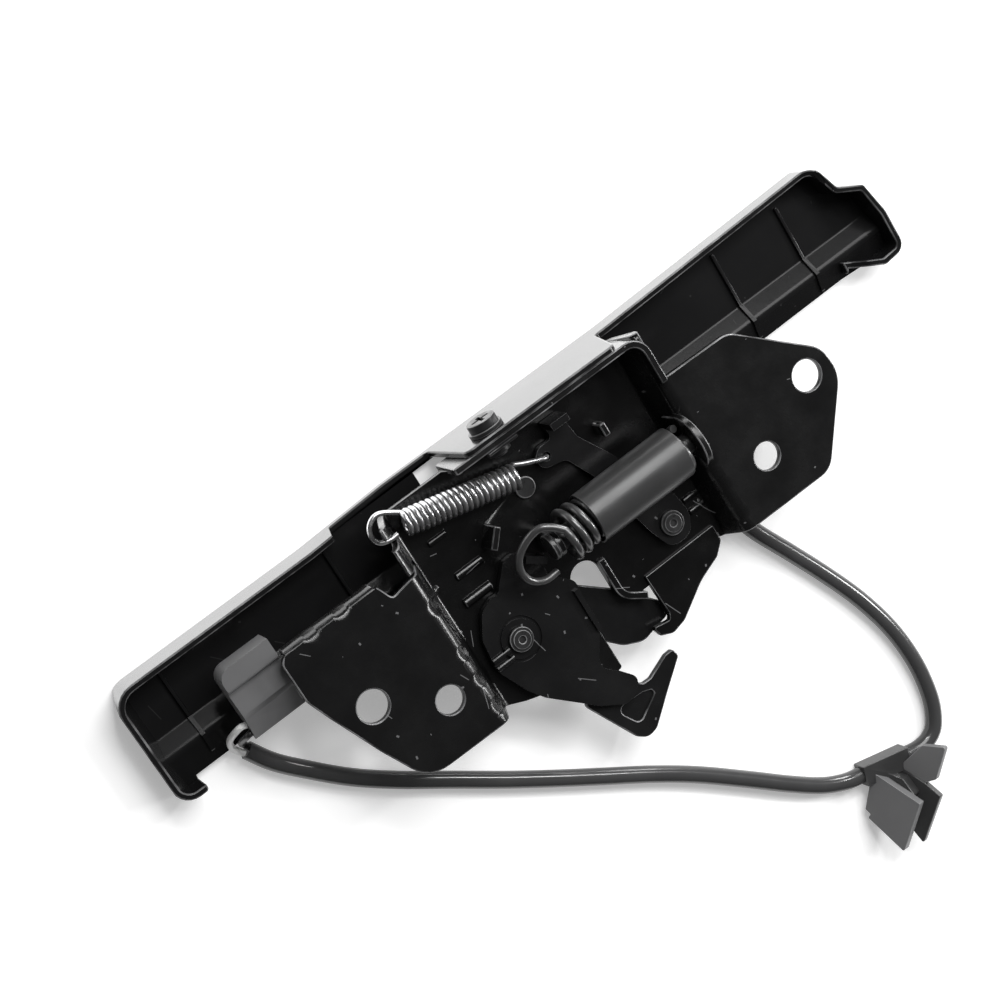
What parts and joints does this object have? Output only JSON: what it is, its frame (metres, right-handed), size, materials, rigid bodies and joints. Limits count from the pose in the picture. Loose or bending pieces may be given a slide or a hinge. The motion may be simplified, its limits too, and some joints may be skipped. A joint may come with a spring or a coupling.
{
  "type": "bonnet latch",
  "caption": "Car bonnet latch: pressed steel bracket with claw, pawl, sprung safety hook and release lever, on a plastic cable shield with a switch and its wiring.",
  "frame": {"origin": "midway between the two outer bolt holes, on the back face of the bracket's wings", "axes": "+X along the shield, +Y towards the shield's tall wall, +Z out of the front of the latch"},
  "size_m": [0.302, 0.2213, 0.0384],
  "materials": {
    "coated_steel": "semi-gloss black electro-coat",
    "shield_plastic": "satin black moulded",
    "screw_steel": "dark zinc",
    "rivet_steel": "coated steel",
    "dark_wire": "satin coated spring wire",
    "sleeve_plastic": "satin",
    "zinc_wire": "bright zinc",
    "switch_plastic": "grey moulded",
    "white_insulation": "smooth",
    "black_insulation": "smooth",
    "conduit_plastic": "glossy black tube",
    "connector_plastic": "dark grey moulded",
    "clip_plastic": "black moulded"
  },
  "bodies": {
    "frame": {"base_bracket": "coated_steel", "cable_shield": "shield_plastic", "cover_screw": "screw_steel", "clip_nut": "screw_steel", "claw_rivet": "rivet_steel", "pivot_washer": "rivet_steel", "lever_washer": "rivet_steel", "pan_rivet": "rivet_steel", "lift_spring": "dark_wire", "spring_sleeve": "sleeve_plastic", "spring_pin": "rivet_steel", "lever_spring": "zinc_wire", "switch_housing": "switch_plastic", "white_lead": "white_insulation", "black_lead": "black_insulation", "conduit_a": "conduit_plastic", "conduit_b": "conduit_plastic", "connector_housing": "connector_plastic", "connector_cover": "connector_plastic", "connector_latch": "connector_plastic", "harness_clip": "clip_plastic"},
    "claw": {"claw": "coated_steel"},
    "safety_catch": {"safety_lever": "coated_steel", "safety_hook": "coated_steel"},
    "release": {"pawl": "coated_steel", "pawl_pin": "rivet_steel", "release_lever": "coated_steel"}
  },
  "joints": [
    {"name": "claw_hinge", "type": "hinge", "parent": "frame", "child": "claw", "pos_m": [-0.0365, -0.015, -0.0135], "axis": [0, 0, 1], "range_deg": [-40, 0]},
    {"name": "safety_hinge", "type": "hinge", "parent": "frame", "child": "safety_catch", "pos_m": [-0.0365, -0.015, -0.0078], "axis": [0, 0, 1], "range_deg": [-20, 0], "stiffness_Nm_per_rad": 0.1, "springref_deg": 5.73, "deforming": ["lift_spring"]},
    {"name": "release_hinge", "type": "hinge", "parent": "frame", "child": "release", "pos_m": [0.0265, -0.015, -0.0078], "axis": [0, 0, 1], "range_deg": [-4.5, 0], "stiffness_Nm_per_rad": 0.1, "springref_deg": 5.73, "deforming": ["lever_spring"]}
  ]
}
